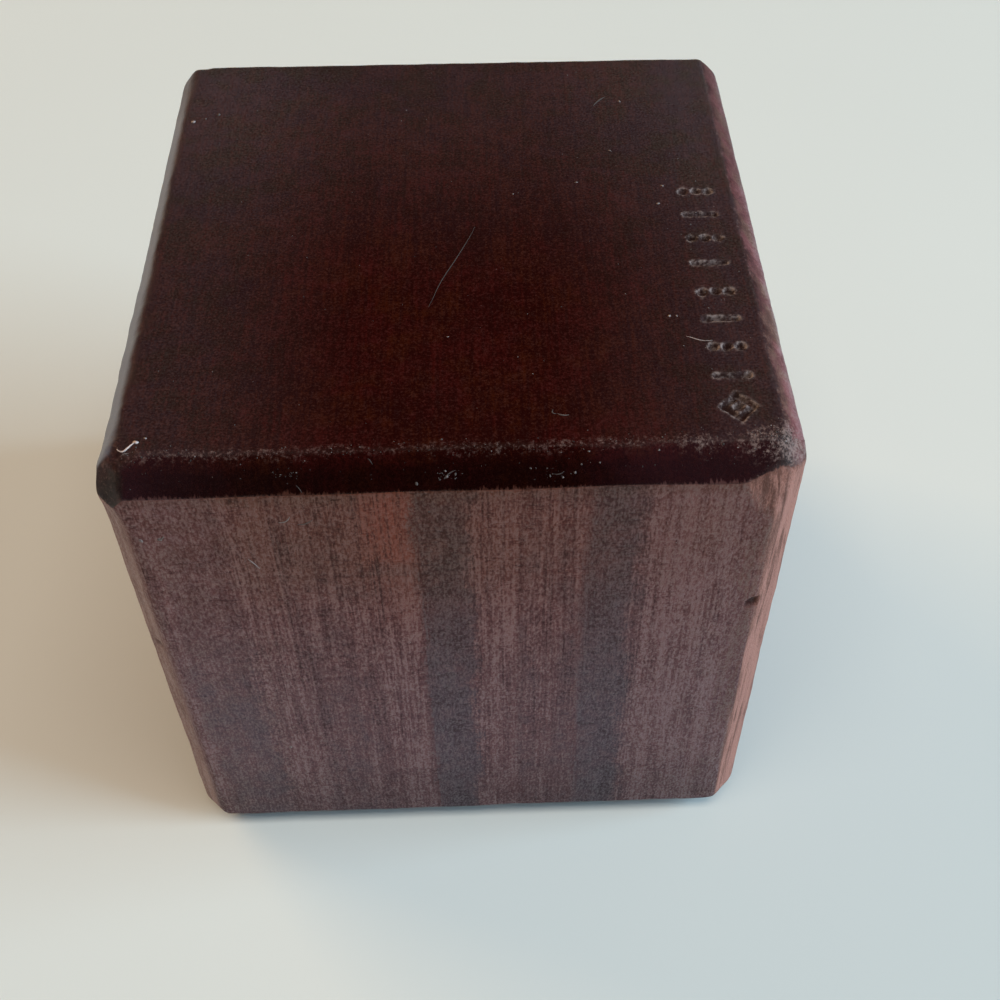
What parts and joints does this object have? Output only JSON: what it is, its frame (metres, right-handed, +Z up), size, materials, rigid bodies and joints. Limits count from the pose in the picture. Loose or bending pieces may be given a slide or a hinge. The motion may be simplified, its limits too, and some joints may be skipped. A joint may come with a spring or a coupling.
{
  "type": "wooden cube",
  "caption": "Small solid wooden block, close to a cube, with bevelled edges, worn corners and a row of plain punched marks on the top.",
  "frame": {"origin": "centre of the underside, on the surface the block stands on", "axes": "+Z up, +X to the right with the punched row beside that edge of the top, -Y towards the front"},
  "size_m": [0.05, 0.052, 0.0505],
  "materials": {
    "dark_wood": "dark red-brown wood, worn satin varnish on the top, bare on the front"
  },
  "bodies": {
    "root": {"block": "dark_wood"}
  },
  "joints": []
}
